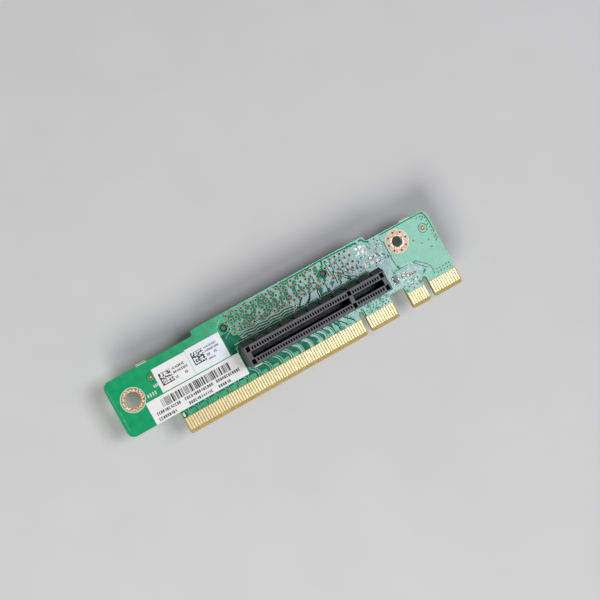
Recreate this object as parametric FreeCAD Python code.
import FreeCAD, Part

import math
import os

from FreeCAD import Vector

# A riser card: a flat circuit board that plugs into two card-edge sockets along its lower edge and
# carries one eight-lane card slot on each face.
#
# Millimetres. X runs along the card, Y from the gold edge to the top edge, +Z out of the front face.
# The origin is on the front face, on the centre line of the x16 key notch, level with the gold edge's foot.

# ---- Circuit board ------------------------------------------------------------------------------
board_thickness = 1.57
card_height = 31.5            # foot of the gold edge to the raised middle's top
card_left_x = -91.45
tongue_height = 8.5           # foot of the gold edge to the board's lower edge
raised_step = 2.0             # raised middle above the top edge on both sides of it
raised_margin_left = 9.34     # raised middle beyond the rear slot's left end
raised_margin_right = 4.46
corner_round = 2.6
step_round = 0.8
step_fillet = 0.9
foot_round = 0.8
gap_round = 0.8
tongue_side_fillet = 0.6
bevel_length = 1.3
bevel_depth = 0.47

# Broken-off panel tabs that stand a little out of the top edge
tab_proud = 0.2
tab_slope = 0.25
left_tab_from_edge = (13.15, 17.15)
right_tab_from_edge = (6.35, 10.85)

# ---- Gold edge ----------------------------------------------------------------------------------
finger_pitch = 1.0
finger_width = 0.7
finger_length = 4.4
finger_foot_y = 1.35
finger_thickness = 0.05
key_width = 1.9
key_to_first_finger = 1.5
short_side_fingers = 11
finger_end_margin = 0.75      # last finger's centre to the edge's end
card_right_margin = 0.65      # the same, at the card's right edge
x16_key_x = 0.0
x16_long_side_fingers = 71
x1_key_x = 26.5
x1_long_side_fingers = 7

# ---- Mounting holes -----------------------------------------------------------------------------
pad_thickness = 0.04          # copper of every pad and ring
plating_wall = 0.03
left_hole_radius = 2.87
left_ring_radius = 3.95
left_hole_from_edge = 7.02
left_hole_above_tongue = 11.5
right_hole_radius = 1.97
right_ring_radius = 4.05
right_hole_from_edge = 14.55
right_hole_below_shoulder = 5.55
ring_via_radius = 0.25
ring_via_circle = 3.45
ring_via_count = 8

# ---- Card slots: one on the front face, one on the back -----------------------------------------
# Slot frame: U along the slot, V across it, W away from the board, from the slot's centre.
front_slot_x = -16.41
front_slot_above_tongue = 5.95
rear_slot_x = -18.76
rear_slot_below_top = 4.85

contact_pitch = 1.0
contact_positions = 49
key_after_position = 11
key_gap_pitches = 2           # pitches that the key takes between its two neighbours
housing_end_margin = 3.0
housing_width = 7.5
housing_height = 11.25
housing_standoff = 0.3
housing_top_chamfer = 0.2

card_slot_width = 1.75
card_slot_mouth_width = 2.35
card_slot_lead_depth = 0.4
card_slot_floor = 3.0
card_slot_end_margin = 1.25
slot_key_width = 1.5

window_wall = 0.825           # between the card slot and the contact windows
window_width = 0.9
window_clearance = 0.05       # contact to window, at each side
shaft_opening_low = 3.2
shaft_opening_below_top = 0.95
tail_pocket_clearance = 0.15
tail_pocket_height = 0.4      # above the contacts' jog

core_pocket_width = 1.8       # square hollows beside the key and at both ends
core_pocket_side_wall = 0.5
core_pocket_floor = 3.0
end_pocket_length = 1.45
end_pocket_wall = 0.6
key_pocket_length = 1.35

ledge_count = 11              # wedge ledges along one long side
ledge_gap = 1.2
ledge_reach = 1.34
ledge_underside = 7.7
ledge_lip = 8.0

peg_radius = 1.0
peg_clearance = 0.25
peg_chamfer = 0.2
peg_recess = 0.5              # peg tip below the board's far face
peg_foot_radius = 1.35
end_peg_from_last_contact = 1.65
end_foot_length = 1.0

# ---- Slot contacts ------------------------------------------------------------------------------
contact_width = 0.5
contact_thickness = 0.2
inner_tail_v = 1.25
outer_tail_v = 3.25
contact_jog_w = 0.9
contact_bend_w = 3.4
contact_preload = 0.2         # how far the beam's face reaches into the card slot
contact_touch_below_top = 4.0
contact_touch_round = 0.4
contact_touch_bow = 0.1
contact_lead_below_top = 2.6
tail_recess = 0.35            # tail tip below the board's far face

sleeve_clearance = 0.09       # tail's corner to the plated hole
sleeve_wall = 0.06
sleeve_ring_width = 0.08
solder_recess = 0.45          # solder below the board's far face

# ---- Marks, labels and small parts on the front face --------------------------------------------
fiducial_radius = 0.85
left_fiducial_from_edge = 16.05
left_fiducial_below_shoulder = 5.6
right_fiducial_from_edge = 3.85
right_fiducial_below_shoulder = 5.75

label_thickness = 0.1
upper_label_above_barcode = 0.35
upper_label_gap = 0.1
left_label_from_edge = 17.2
left_label_length = 13.0
left_label_height = 8.95
right_label_length = 13.35
right_label_height = 9.3
barcode_label_from_edge = 10.15
barcode_label_length = 36.3
barcode_label_height = 8.25
barcode_label_above_tongue = 0.05

transistor_from_right = 21.65
transistor_above_tongue = 3.6
transistor_length = 2.9
transistor_width = 1.3
transistor_height = 0.95
transistor_standoff = 0.1
transistor_lead_span = 2.5
transistor_lead_spacing = 1.9
transistor_lead_width = 0.42
transistor_lead_thickness = 0.12

chip_length = 1.0
chip_width = 0.5
chip_terminal = 0.22
capacitor_height = 0.5
resistor_height = 0.35
chip_pad_length = 0.5
chip_pad_width = 0.6
chip_pad_outset = 0.15        # pad beyond the chip's end

test_pad_radius = 0.35
bare_pad_length = 0.9
bare_pad_width = 0.85
bare_pad_spacing = 1.9

# ---- Derived places -----------------------------------------------------------------------------
half_key = key_width / 2
card_right_x = x1_key_x + key_to_first_finger + (short_side_fingers - 1) * finger_pitch + card_right_margin
contact_half_span = (contact_positions - 1 + key_gap_pitches - 1) * contact_pitch / 2 + contact_pitch / 2
housing_half_length = contact_half_span + housing_end_margin
housing_half_width = housing_width / 2
slot_key_u = contact_half_span - (key_after_position - 1 + (key_gap_pitches + 1) / 2) * contact_pitch
end_peg_u = -contact_half_span - end_peg_from_last_contact
window_inner = card_slot_width / 2 + window_wall
window_outer = window_inner + window_width
peg_hole_radius = peg_radius + peg_clearance
shoulder_y = card_height - raised_step
front_slot_y = tongue_height + front_slot_above_tongue
rear_slot_y = card_height - rear_slot_below_top
raised_left_x = rear_slot_x - housing_half_length - raised_margin_left
raised_right_x = rear_slot_x + housing_half_length + raised_margin_right
sleeve_hole_radius = math.hypot(contact_width, contact_thickness) / 2 + sleeve_clearance
sleeve_outer_radius = sleeve_hole_radius + sleeve_wall
sleeve_ring_radius = sleeve_outer_radius + sleeve_ring_width
barcode_label_y = tongue_height + barcode_label_above_tongue
upper_label_y = barcode_label_y + barcode_label_height + upper_label_above_barcode
left_hole = Vector(card_left_x + left_hole_from_edge, tongue_height + left_hole_above_tongue, 0)
right_hole = Vector(card_right_x - right_hole_from_edge, shoulder_y - right_hole_below_shoulder, 0)

# Places of the small parts, from the card's right edge and above the board's lower edge
capacitor_places = [(18.85, 3.45), (17.05, 3.65)]
resistor_places = [(15.95, 2.8), (14.95, 2.8), (13.9, 2.8)]
test_pad_places = [(17.75, 1.0), (16.75, 0.0), (15.05, 0.5)]

# Places of the bare pads, from the card's right edge and below its top edge
bare_pad_places = [(29.25, 3.85), (27.55, 3.85), (26.15, 9.1), (24.15, 9.1)]


def box(x0, x1, y0, y1, z0, z1):
    return Part.makeBox(x1 - x0, y1 - y0, z1 - z0, Vector(x0, y0, z0))


def cylinder(centre, radius, z0, z1):
    return Part.makeCylinder(radius, z1 - z0, Vector(centre.x, centre.y, z0))


def circle_wire(centre, radius):
    return Part.Wire(Part.makeCircle(radius, Vector(centre.x, centre.y, 0)))


def prism_along_x(profile, x0, x1):
    """Solid with the closed (y, z) profile, from x0 to x1."""
    points = [Vector(x0, y, z) for y, z in profile]
    face = Part.Face(Part.makePolygon(points + points[:1]))
    return face.extrude(Vector(x1 - x0, 0, 0))


def across(shape):
    """The same piece on the other side of the slot's centre plane."""
    return shape.mirror(Vector(0, 0, 0), Vector(0, 1, 0))


def export(name, shapes):
    solids = []
    for shape in shapes:
        solids.extend(shape.Solids)
    whole = solids[0] if len(solids) == 1 else Part.makeCompound(solids)
    whole.exportStep(f"parts/{name}.step")


def rounded_outline(corners):
    """Closed wire through (x, y, radius) corners, each rounded by a tangent arc."""
    edges = []
    points = [Vector(x, y, 0) for x, y, _ in corners]
    starts = []
    ends = []
    for index, (_, _, radius) in enumerate(corners):
        here = points[index]
        back = (points[index - 1] - here).normalize()
        ahead = (points[(index + 1) % len(points)] - here).normalize()
        if radius == 0:
            starts.append(here)
            ends.append(here)
            continue
        half_angle = back.getAngle(ahead) / 2
        setback = radius / math.tan(half_angle)
        starts.append(here + back * setback)
        ends.append(here + ahead * setback)
        bisector = (back + ahead).normalize()
        middle = here + bisector * (radius / math.sin(half_angle) - radius)
        edges.append((index, Part.Arc(starts[-1], middle, ends[-1]).toShape()))
    arcs = dict(edges)
    path = []
    for index in range(len(corners)):
        if index in arcs:
            path.append(arcs[index])
        following = starts[(index + 1) % len(corners)]
        if (following - ends[index]).Length > 1e-6:
            path.append(Part.LineSegment(ends[index], following).toShape())
    return Part.Wire(path)


# ---- Gold edge ----------------------------------------------------------------------------------
def finger_positions(key_x, long_side_fingers):
    first_left = key_x - key_to_first_finger
    first_right = key_x + key_to_first_finger
    left = [first_left - index * finger_pitch for index in range(long_side_fingers)]
    right = [first_right + index * finger_pitch for index in range(short_side_fingers)]
    return left + right


def tongue_ends(key_x, long_side_fingers):
    places = finger_positions(key_x, long_side_fingers)
    return min(places) - finger_end_margin, max(places) + finger_end_margin


def gold_fingers(key_x, long_side_fingers, z0):
    """The row of flat contacts of one edge connector, on the face whose plane is at z0."""
    return [
        box(x - finger_width / 2, x + finger_width / 2, finger_foot_y, finger_foot_y + finger_length,
            z0, z0 + finger_thickness)
        for x in finger_positions(key_x, long_side_fingers)
    ]


# ---- Slot geometry shared by board, sleeves, housing and contacts -------------------------------
def contact_places():
    """(position number, U) of every contact, from the short side of the key."""
    places = []
    for position in range(1, contact_positions + 1):
        steps = position - 1
        if position > key_after_position:
            steps += key_gap_pitches
        places.append((position, contact_half_span - (steps * contact_pitch)))
    return places


def tail_places(inner):
    """(U, V) of the tails on the +V side: odd positions sit on the inner row, even on the outer."""
    tail_v = inner_tail_v if inner else outer_tail_v
    return [(u, tail_v) for position, u in contact_places() if (position % 2 == 1) == inner]


def all_tail_points():
    points = []
    for inner in (True, False):
        for u, v in tail_places(inner):
            points.append(Vector(u, v, 0))
            points.append(Vector(u, -v, 0))
    return points


def peg_points():
    return [Vector(slot_key_u, 0, 0), Vector(end_peg_u, 0, 0)]


def on_front(shape):
    placed = shape.copy()
    placed.translate(Vector(front_slot_x, front_slot_y, 0))
    return placed


def on_back(shape):
    placed = shape.copy()
    placed.rotate(Vector(0, 0, 0), Vector(1, 0, 0), 180)
    placed.translate(Vector(rear_slot_x, rear_slot_y, -board_thickness))
    return placed


def slot_holes_on_board(points, slot_x, slot_y, side):
    return [Vector(slot_x + point.x, slot_y + side * point.y, 0) for point in points]


# ---- Circuit board ------------------------------------------------------------------------------
def key_notch_corners(key_x):
    return [
        (key_x - half_key, 0, foot_round),
        (key_x - half_key, tongue_height, half_key),
        (key_x + half_key, tongue_height, half_key),
        (key_x + half_key, 0, foot_round),
    ]


def tab_corners(x_from, x_to):
    """A tab stub on the top edge, from x_from to x_to, which lies to its left."""
    return [
        (x_from, shoulder_y, 0),
        (x_from - tab_slope, shoulder_y + tab_proud, 0),
        (x_to + tab_slope, shoulder_y + tab_proud, 0),
        (x_to, shoulder_y, 0),
    ]


def board_outline():
    x16_left, x16_right = tongue_ends(x16_key_x, x16_long_side_fingers)
    x1_left, _ = tongue_ends(x1_key_x, x1_long_side_fingers)
    right_tab = [card_right_x - distance for distance in right_tab_from_edge]
    left_tab = [card_left_x + distance for distance in reversed(left_tab_from_edge)]
    corners = [(x16_left, 0, foot_round)]
    corners += key_notch_corners(x16_key_x)
    corners += [
        (x16_right, 0, foot_round),
        (x16_right, tongue_height, gap_round),
        (x1_left, tongue_height, gap_round),
        (x1_left, 0, foot_round),
    ]
    corners += key_notch_corners(x1_key_x)
    corners += [
        (card_right_x, 0, foot_round),
        (card_right_x, shoulder_y, corner_round),
    ]
    corners += tab_corners(*right_tab)
    corners += [
        (raised_right_x, shoulder_y, step_fillet),
        (raised_right_x, card_height, step_round),
        (raised_left_x, card_height, step_round),
        (raised_left_x, shoulder_y, step_fillet),
    ]
    corners += tab_corners(*left_tab)
    corners += [
        (card_left_x, shoulder_y, corner_round),
        (card_left_x, tongue_height, corner_round),
        (x16_left, tongue_height, tongue_side_fillet),
    ]
    return rounded_outline(corners)


def board_holes():
    """(centre, radius) of every hole through the laminate."""
    holes = [
        (left_hole, left_hole_radius + plating_wall),
        (right_hole, right_hole_radius + plating_wall),
    ]
    holes += [(centre, ring_via_radius) for centre in ring_via_centres()]
    for slot_x, slot_y, side in ((front_slot_x, front_slot_y, 1), (rear_slot_x, rear_slot_y, -1)):
        tails = slot_holes_on_board(all_tail_points(), slot_x, slot_y, side)
        pegs = slot_holes_on_board(peg_points(), slot_x, slot_y, side)
        holes += [(centre, sleeve_outer_radius) for centre in tails]
        holes += [(centre, peg_hole_radius) for centre in pegs]
    return holes


def ring_via_centres():
    step = 2 * math.pi / ring_via_count
    return [
        right_hole + Vector(math.cos(index * step), math.sin(index * step), 0) * ring_via_circle
        for index in range(ring_via_count)
    ]


def circuit_board():
    wires = [board_outline()] + [circle_wire(centre, radius) for centre, radius in board_holes()]
    face = Part.makeFace(wires, "Part::FaceMakerBullseye")
    board = face.extrude(Vector(0, 0, -board_thickness))
    front_bevel = [(0, 0), (bevel_length, 0), (0, -bevel_depth)]
    back_bevel = [(y, -board_thickness - z) for y, z in front_bevel]
    bevels = [prism_along_x(profile, card_left_x, card_right_x) for profile in (front_bevel, back_bevel)]
    return board.cut(bevels)


# ---- Plated holes -------------------------------------------------------------------------------
def flanged_sleeve(hole_radius, outer_radius, ring_radius, ring_height):
    """Metal lining of a hole through the board, with a flat ring on each face."""
    top = ring_height
    bottom = -board_thickness - ring_height
    profile = [
        (hole_radius, top), (ring_radius, top), (ring_radius, 0), (outer_radius, 0),
        (outer_radius, -board_thickness), (ring_radius, -board_thickness), (ring_radius, bottom),
        (hole_radius, bottom),
    ]
    points = [Vector(r, 0, z) for r, z in profile]
    face = Part.Face(Part.makePolygon(points + points[:1]))
    return face.revolve(Vector(0, 0, 0), Vector(0, 0, 1), 360)


def mounting_plating(centre, hole_radius, ring_radius):
    plating = flanged_sleeve(hole_radius, hole_radius + plating_wall, ring_radius, pad_thickness)
    plating.translate(centre)
    return plating


def right_mounting_plating():
    plating = mounting_plating(right_hole, right_hole_radius, right_ring_radius)
    vias = [
        cylinder(centre, ring_via_radius, -board_thickness - pad_thickness, pad_thickness)
        for centre in ring_via_centres()
    ]
    return plating.cut(vias)


def pin_sleeves(slot_x, slot_y, side):
    sleeve = flanged_sleeve(sleeve_hole_radius, sleeve_outer_radius, sleeve_ring_radius, pad_thickness)
    sleeves = []
    for centre in slot_holes_on_board(all_tail_points(), slot_x, slot_y, side):
        placed = sleeve.copy()
        placed.translate(centre)
        sleeves.append(placed)
    return sleeves


# ---- Slot housing -------------------------------------------------------------------------------
def housing_body():
    half = housing_half_width
    chamfer = housing_top_chamfer
    profile = [
        (-half, housing_standoff), (half, housing_standoff), (half, housing_height - chamfer),
        (half - chamfer, housing_height), (chamfer - half, housing_height), (-half, housing_height - chamfer),
    ]
    return prism_along_x(profile, -housing_half_length, housing_half_length)


def housing_ledges():
    """Wedges along the +V side: a slope from the top edge down to a lip, with a flat underside."""
    half = housing_half_width
    profile = [
        (half - housing_top_chamfer, ledge_underside),
        (half + ledge_reach, ledge_underside),
        (half + ledge_reach, ledge_lip),
        (half, housing_height - housing_top_chamfer),
        (half - housing_top_chamfer, housing_height - housing_top_chamfer),
    ]
    whole_length = 2 * housing_half_length
    length = (whole_length - (ledge_count - 1) * ledge_gap) / ledge_count
    ledges = []
    for index in range(ledge_count):
        start = -housing_half_length + index * (length + ledge_gap)
        ledges.append(prism_along_x(profile, start, start + length))
    return ledges


def housing_feet_and_pegs():
    half = housing_half_width
    inner_u = housing_half_length - end_foot_length
    pieces = [
        box(-housing_half_length, -inner_u, -half, half, 0, housing_standoff),
        box(inner_u, housing_half_length, -half, half, 0, housing_standoff),
    ]
    tip = peg_recess - board_thickness
    for centre in peg_points():
        pieces.append(cylinder(centre, peg_foot_radius, 0, housing_standoff))
        pieces.append(cylinder(centre, peg_radius, tip + peg_chamfer, housing_standoff))
        tip_radius = peg_radius - peg_chamfer
        pieces.append(Part.makeCone(tip_radius, peg_radius, peg_chamfer, Vector(centre.x, centre.y, tip)))
    return pieces


def card_slot_cuts():
    """The two slots that take a card's edge, either side of the key."""
    half = card_slot_width / 2
    mouth = card_slot_mouth_width / 2
    lead_start = housing_height - card_slot_lead_depth
    profile = [
        (-half, card_slot_floor), (half, card_slot_floor), (half, lead_start), (mouth, housing_height),
        (-mouth, housing_height), (-half, lead_start),
    ]
    end = contact_half_span + card_slot_end_margin
    return [
        prism_along_x(profile, -end, slot_key_u - slot_key_width / 2),
        prism_along_x(profile, slot_key_u + slot_key_width / 2, end),
    ]


def contact_shaft_cuts():
    half = contact_width / 2 + window_clearance
    slot_side = card_slot_width / 2
    top = housing_height
    opening_high = top - shaft_opening_below_top
    pocket_inner = inner_tail_v - contact_thickness / 2 - tail_pocket_clearance
    pocket_outer = outer_tail_v + contact_thickness / 2 + tail_pocket_clearance
    pocket_top = contact_jog_w + contact_thickness / 2 + tail_pocket_height
    cuts = []
    for _, u in contact_places():
        low = u - half
        high = u + half
        shaft = box(low, high, window_inner, window_outer, pocket_top, top)
        opening = box(low, high, slot_side, window_inner, shaft_opening_low, opening_high)
        pocket = box(low, high, pocket_inner, pocket_outer, housing_standoff, pocket_top)
        cavity = shaft.fuse([opening, pocket]).removeSplitter()
        cuts.append(cavity)
        cuts.append(across(cavity))
    return cuts


def core_pocket_cuts():
    outer_end = housing_half_length - end_pocket_wall
    outer = housing_half_width - core_pocket_side_wall
    inner = outer - core_pocket_width
    spans = [
        (-outer_end, -outer_end + end_pocket_length),
        (slot_key_u - key_pocket_length / 2, slot_key_u + key_pocket_length / 2),
        (outer_end - end_pocket_length, outer_end),
    ]
    cuts = []
    for low, high in spans:
        cuts.append(box(low, high, inner, outer, core_pocket_floor, housing_height))
        cuts.append(box(low, high, -outer, -inner, core_pocket_floor, housing_height))
    return cuts


def slot_housing():
    solid = housing_body().fuse(housing_ledges() + housing_feet_and_pegs()).removeSplitter()
    cuts = Part.makeCompound(card_slot_cuts() + contact_shaft_cuts() + core_pocket_cuts())
    return solid.cut(cuts)


def housing_sections():
    """The housing, divided at the card slot's floor and sides, so that nothing spans the slot."""
    whole = slot_housing()
    reach = housing_half_length
    side = housing_half_width + ledge_reach
    half = card_slot_width / 2
    floor = card_slot_floor
    top = housing_height
    return {
        "base": whole.common(box(-reach, reach, -side, side, -board_thickness, floor)),
        "ledge_wall": whole.common(box(-reach, reach, half, side, floor, top)),
        "plain_wall": whole.common(box(-reach, reach, -side, -half, floor, top)),
        "key_and_ends": whole.common(box(-reach, reach, -half, half, floor, top)),
    }


# ---- Slot contacts ------------------------------------------------------------------------------
def strip_outline(points, thickness):
    """Closed outline of a strip of even thickness along a centre line, with mitred bends."""
    half = thickness / 2
    sides = ([], [])
    for index, point in enumerate(points):
        before = points[max(index - 1, 0)]
        after = points[min(index + 1, len(points) - 1)]
        directions = []
        if index > 0:
            directions.append(direction(before, point))
        if index < len(points) - 1:
            directions.append(direction(point, after))
        normals = [(-dw, dv) for dv, dw in directions]
        sum_v = sum(normal[0] for normal in normals)
        sum_w = sum(normal[1] for normal in normals)
        scale = len(normals) * half / (sum_v ** 2 + sum_w ** 2)
        sides[0].append((point[0] + sum_v * scale, point[1] + sum_w * scale))
        sides[1].append((point[0] - sum_v * scale, point[1] - sum_w * scale))
    return sides[0] + sides[1][::-1]


def direction(start, end):
    length = math.hypot(end[0] - start[0], end[1] - start[1])
    return (end[0] - start[0]) / length, (end[1] - start[1]) / length


def contact_centre_line(tail_v):
    """Tail in the board, jog to the spine, and a beam that bows into the card slot."""
    half = contact_thickness / 2
    spine_v = window_outer - half
    touch_v = card_slot_width / 2 - contact_preload + half
    touch_w = housing_height - contact_touch_below_top
    return [
        (tail_v, tail_recess - board_thickness),
        (tail_v, contact_jog_w),
        (spine_v, contact_jog_w),
        (spine_v, contact_bend_w),
        (touch_v + contact_touch_bow, touch_w - contact_touch_round),
        (touch_v, touch_w),
        (touch_v + contact_touch_bow, touch_w + contact_touch_round),
        ((window_inner + window_outer) / 2, housing_height - contact_lead_below_top),
    ]


def slot_contacts(inner):
    tail_v = inner_tail_v if inner else outer_tail_v
    outline = strip_outline(contact_centre_line(tail_v), contact_thickness)
    contacts = []
    for u, _ in tail_places(inner):
        contact = prism_along_x(outline, u - contact_width / 2, u + contact_width / 2)
        contacts.append(contact)
        contacts.append(across(contact))
    return contacts


def tail_solder():
    """Solder that fills each plated hole around its tail."""
    low = solder_recess - board_thickness
    half_u = contact_width / 2
    half_v = contact_thickness / 2
    plug = cylinder(Vector(0, 0, 0), sleeve_hole_radius, low, 0)
    fill = plug.cut(box(-half_u, half_u, -half_v, half_v, low, 0))
    plugs = []
    for point in all_tail_points():
        placed = fill.copy()
        placed.translate(point)
        plugs.append(placed)
    return plugs


# ---- Marks, labels and small parts --------------------------------------------------------------
def from_right(place):
    return Vector(card_right_x - place[0], tongue_height + place[1], 0)


def from_top_right(place):
    return Vector(card_right_x - place[0], card_height - place[1], 0)


def fiducials():
    left = Vector(card_left_x + left_fiducial_from_edge, shoulder_y - left_fiducial_below_shoulder, 0)
    right = Vector(card_right_x - right_fiducial_from_edge, shoulder_y - right_fiducial_below_shoulder, 0)
    return [cylinder(centre, fiducial_radius, 0, pad_thickness) for centre in (left, right)]


def label(x0, y0, length, height):
    return box(x0, x0 + length, y0, y0 + height, 0, label_thickness)


def left_part_label():
    return label(card_left_x + left_label_from_edge, upper_label_y, left_label_length, left_label_height)


def right_part_label():
    x0 = card_left_x + left_label_from_edge + left_label_length + upper_label_gap
    return label(x0, upper_label_y, right_label_length, right_label_height)


def barcode_label():
    x0 = card_left_x + barcode_label_from_edge
    return label(x0, barcode_label_y, barcode_label_length, barcode_label_height)


def transistor_centre():
    return from_right((transistor_from_right, transistor_above_tongue))


def transistor_body():
    centre = transistor_centre()
    base = pad_thickness + transistor_standoff
    half_x = transistor_width / 2
    half_y = transistor_length / 2
    return box(centre.x - half_x, centre.x + half_x, centre.y - half_y, centre.y + half_y,
               base, base + transistor_height)


def transistor_lead_places():
    """(direction of X, offset in Y) of the three leads."""
    half = transistor_lead_spacing / 2
    return [(-1, half), (-1, -half), (1, 0)]


def transistor_leads():
    """Gull-wing leads from the body's middle height down to their pads."""
    centre = transistor_centre()
    exit_z = pad_thickness + transistor_standoff + transistor_height / 2
    foot_z = pad_thickness + transistor_lead_thickness / 2
    body_half = transistor_width / 2
    tip = transistor_lead_span / 2
    knee = (body_half + tip) / 2
    line = [(body_half, exit_z), (knee, exit_z), (knee, foot_z), (tip, foot_z)]
    outline = strip_outline(line, transistor_lead_thickness)
    leads = []
    for side, offset in transistor_lead_places():
        y0 = centre.y + offset - transistor_lead_width / 2
        points = [Vector(centre.x + side * reach, y0, z) for reach, z in outline]
        face = Part.Face(Part.makePolygon(points + points[:1]))
        leads.append(face.extrude(Vector(0, transistor_lead_width, 0)))
    return leads


def transistor_pads():
    centre = transistor_centre()
    pads = []
    for side, offset in transistor_lead_places():
        middle = centre.x + side * transistor_lead_span / 2
        y0 = centre.y + offset
        pads.append(box(middle - chip_pad_width / 2, middle + chip_pad_width / 2,
                        y0 - chip_pad_width / 2, y0 + chip_pad_width / 2, 0, pad_thickness))
    return pads


def chip_body(centre, height):
    half = chip_length / 2 - chip_terminal
    return box(centre.x - chip_width / 2, centre.x + chip_width / 2, centre.y - half, centre.y + half,
               pad_thickness, pad_thickness + height)


def chip_terminals(centre, height):
    terminals = []
    for low in (centre.y - chip_length / 2, centre.y + chip_length / 2 - chip_terminal):
        terminals.append(box(centre.x - chip_width / 2, centre.x + chip_width / 2, low, low + chip_terminal,
                             pad_thickness, pad_thickness + height))
    return terminals


def chip_pads(centre):
    outer = chip_length / 2 + chip_pad_outset
    pads = []
    for low in (centre.y - outer, centre.y + outer - chip_pad_length):
        pads.append(box(centre.x - chip_pad_width / 2, centre.x + chip_pad_width / 2, low,
                        low + chip_pad_length, 0, pad_thickness))
    return pads


def soldered_pads():
    pads = transistor_pads()
    for place in capacitor_places + resistor_places:
        pads += chip_pads(from_right(place))
    return pads


def bare_pads():
    """Pads of the places that carry no part: two above each other at each place."""
    pads = []
    for place in bare_pad_places:
        centre = from_top_right(place)
        for low in (centre.y - bare_pad_spacing / 2, centre.y + bare_pad_spacing / 2):
            pads.append(box(centre.x - bare_pad_width / 2, centre.x + bare_pad_width / 2,
                            low - bare_pad_length / 2, low + bare_pad_length / 2, 0, pad_thickness))
    return pads


def test_pads():
    return [cylinder(from_right(place), test_pad_radius, 0, pad_thickness) for place in test_pad_places]


def of_each(places, builder):
    pieces = []
    for place in places:
        made = builder(from_right(place))
        pieces += made if isinstance(made, list) else [made]
    return pieces


# ---- Files --------------------------------------------------------------------------------------
os.makedirs("parts", exist_ok=True)

export("circuit_board", [circuit_board()])
export("mounting_plating_left", [mounting_plating(left_hole, left_hole_radius, left_ring_radius)])
export("mounting_plating_right", [right_mounting_plating()])

back_finger_z = -board_thickness - finger_thickness
export("gold_fingers_x16_front", gold_fingers(x16_key_x, x16_long_side_fingers, 0))
export("gold_fingers_x16_back", gold_fingers(x16_key_x, x16_long_side_fingers, back_finger_z))
export("gold_fingers_x1_front", gold_fingers(x1_key_x, x1_long_side_fingers, 0))
export("gold_fingers_x1_back", gold_fingers(x1_key_x, x1_long_side_fingers, back_finger_z))

export("front_slot_pin_sleeves", pin_sleeves(front_slot_x, front_slot_y, 1))
export("rear_slot_pin_sleeves", pin_sleeves(rear_slot_x, rear_slot_y, -1))

for section, shape in housing_sections().items():
    export(f"front_slot_{section}", [on_front(shape)])
    export(f"rear_slot_{section}", [on_back(shape)])
solder = tail_solder()
export("front_slot_solder", [on_front(plug) for plug in solder])
export("rear_slot_solder", [on_back(plug) for plug in solder])
for row, inner in (("inner", True), ("outer", False)):
    contacts = slot_contacts(inner)
    export(f"front_slot_{row}_contacts", [on_front(contact) for contact in contacts])
    export(f"rear_slot_{row}_contacts", [on_back(contact) for contact in contacts])

export("fiducials", fiducials())
export("part_label_left", [left_part_label()])
export("part_label_right", [right_part_label()])
export("barcode_label", [barcode_label()])
export("transistor_body", [transistor_body()])
export("transistor_leads", transistor_leads())
export("capacitor_bodies", of_each(capacitor_places, lambda c: chip_body(c, capacitor_height)))
export("capacitor_terminals", of_each(capacitor_places, lambda c: chip_terminals(c, capacitor_height)))
export("resistor_bodies", of_each(resistor_places, lambda c: chip_body(c, resistor_height)))
export("resistor_terminals", of_each(resistor_places, lambda c: chip_terminals(c, resistor_height)))
export("soldered_pads", soldered_pads())
export("bare_pads", bare_pads())
export("test_pads", test_pads())
